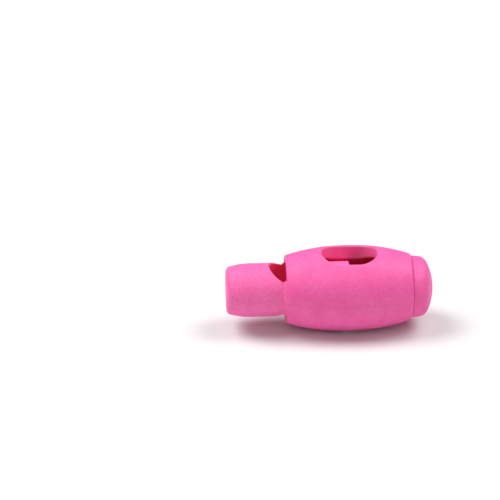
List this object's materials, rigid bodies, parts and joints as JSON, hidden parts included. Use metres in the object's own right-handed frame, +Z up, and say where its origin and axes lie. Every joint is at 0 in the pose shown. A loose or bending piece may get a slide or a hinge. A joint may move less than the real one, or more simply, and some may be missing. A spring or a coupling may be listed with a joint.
{
  "type": "cord lock",
  "caption": "Barrel cord lock: a bellied barrel with an oval cord window, a sprung push-button plunger with an oval cord tunnel, and a domed end cap.",
  "frame": {"origin": "where the barrel's axis crosses the axis of the cord window", "axes": "+X along the barrel from the plunger's head to the end cap, +Z up through the cord window, +Y across the barrel"},
  "size_m": [0.0288, 0.012, 0.0116],
  "materials": {
    "barrel_plastic": "moulded, fine matte texture, candy pink",
    "cap_plastic": "moulded, fine matte texture, candy pink",
    "plunger_plastic": "moulded, fine matte texture, candy pink",
    "spring_steel": "drawn spring wire, bright"
  },
  "bodies": {
    "barrel": {"barrel": "barrel_plastic", "end_cap": "cap_plastic", "spring": "spring_steel"},
    "plunger": {"plunger": "plunger_plastic"}
  },
  "joints": [
    {"name": "plunger_press", "type": "slide", "parent": "barrel", "child": "plunger", "axis": [1, 0, 0], "range_m": [0, 0.007], "stiffness_N_per_m": 900, "springref_m": -0.0025, "deforming": ["spring"]}
  ]
}
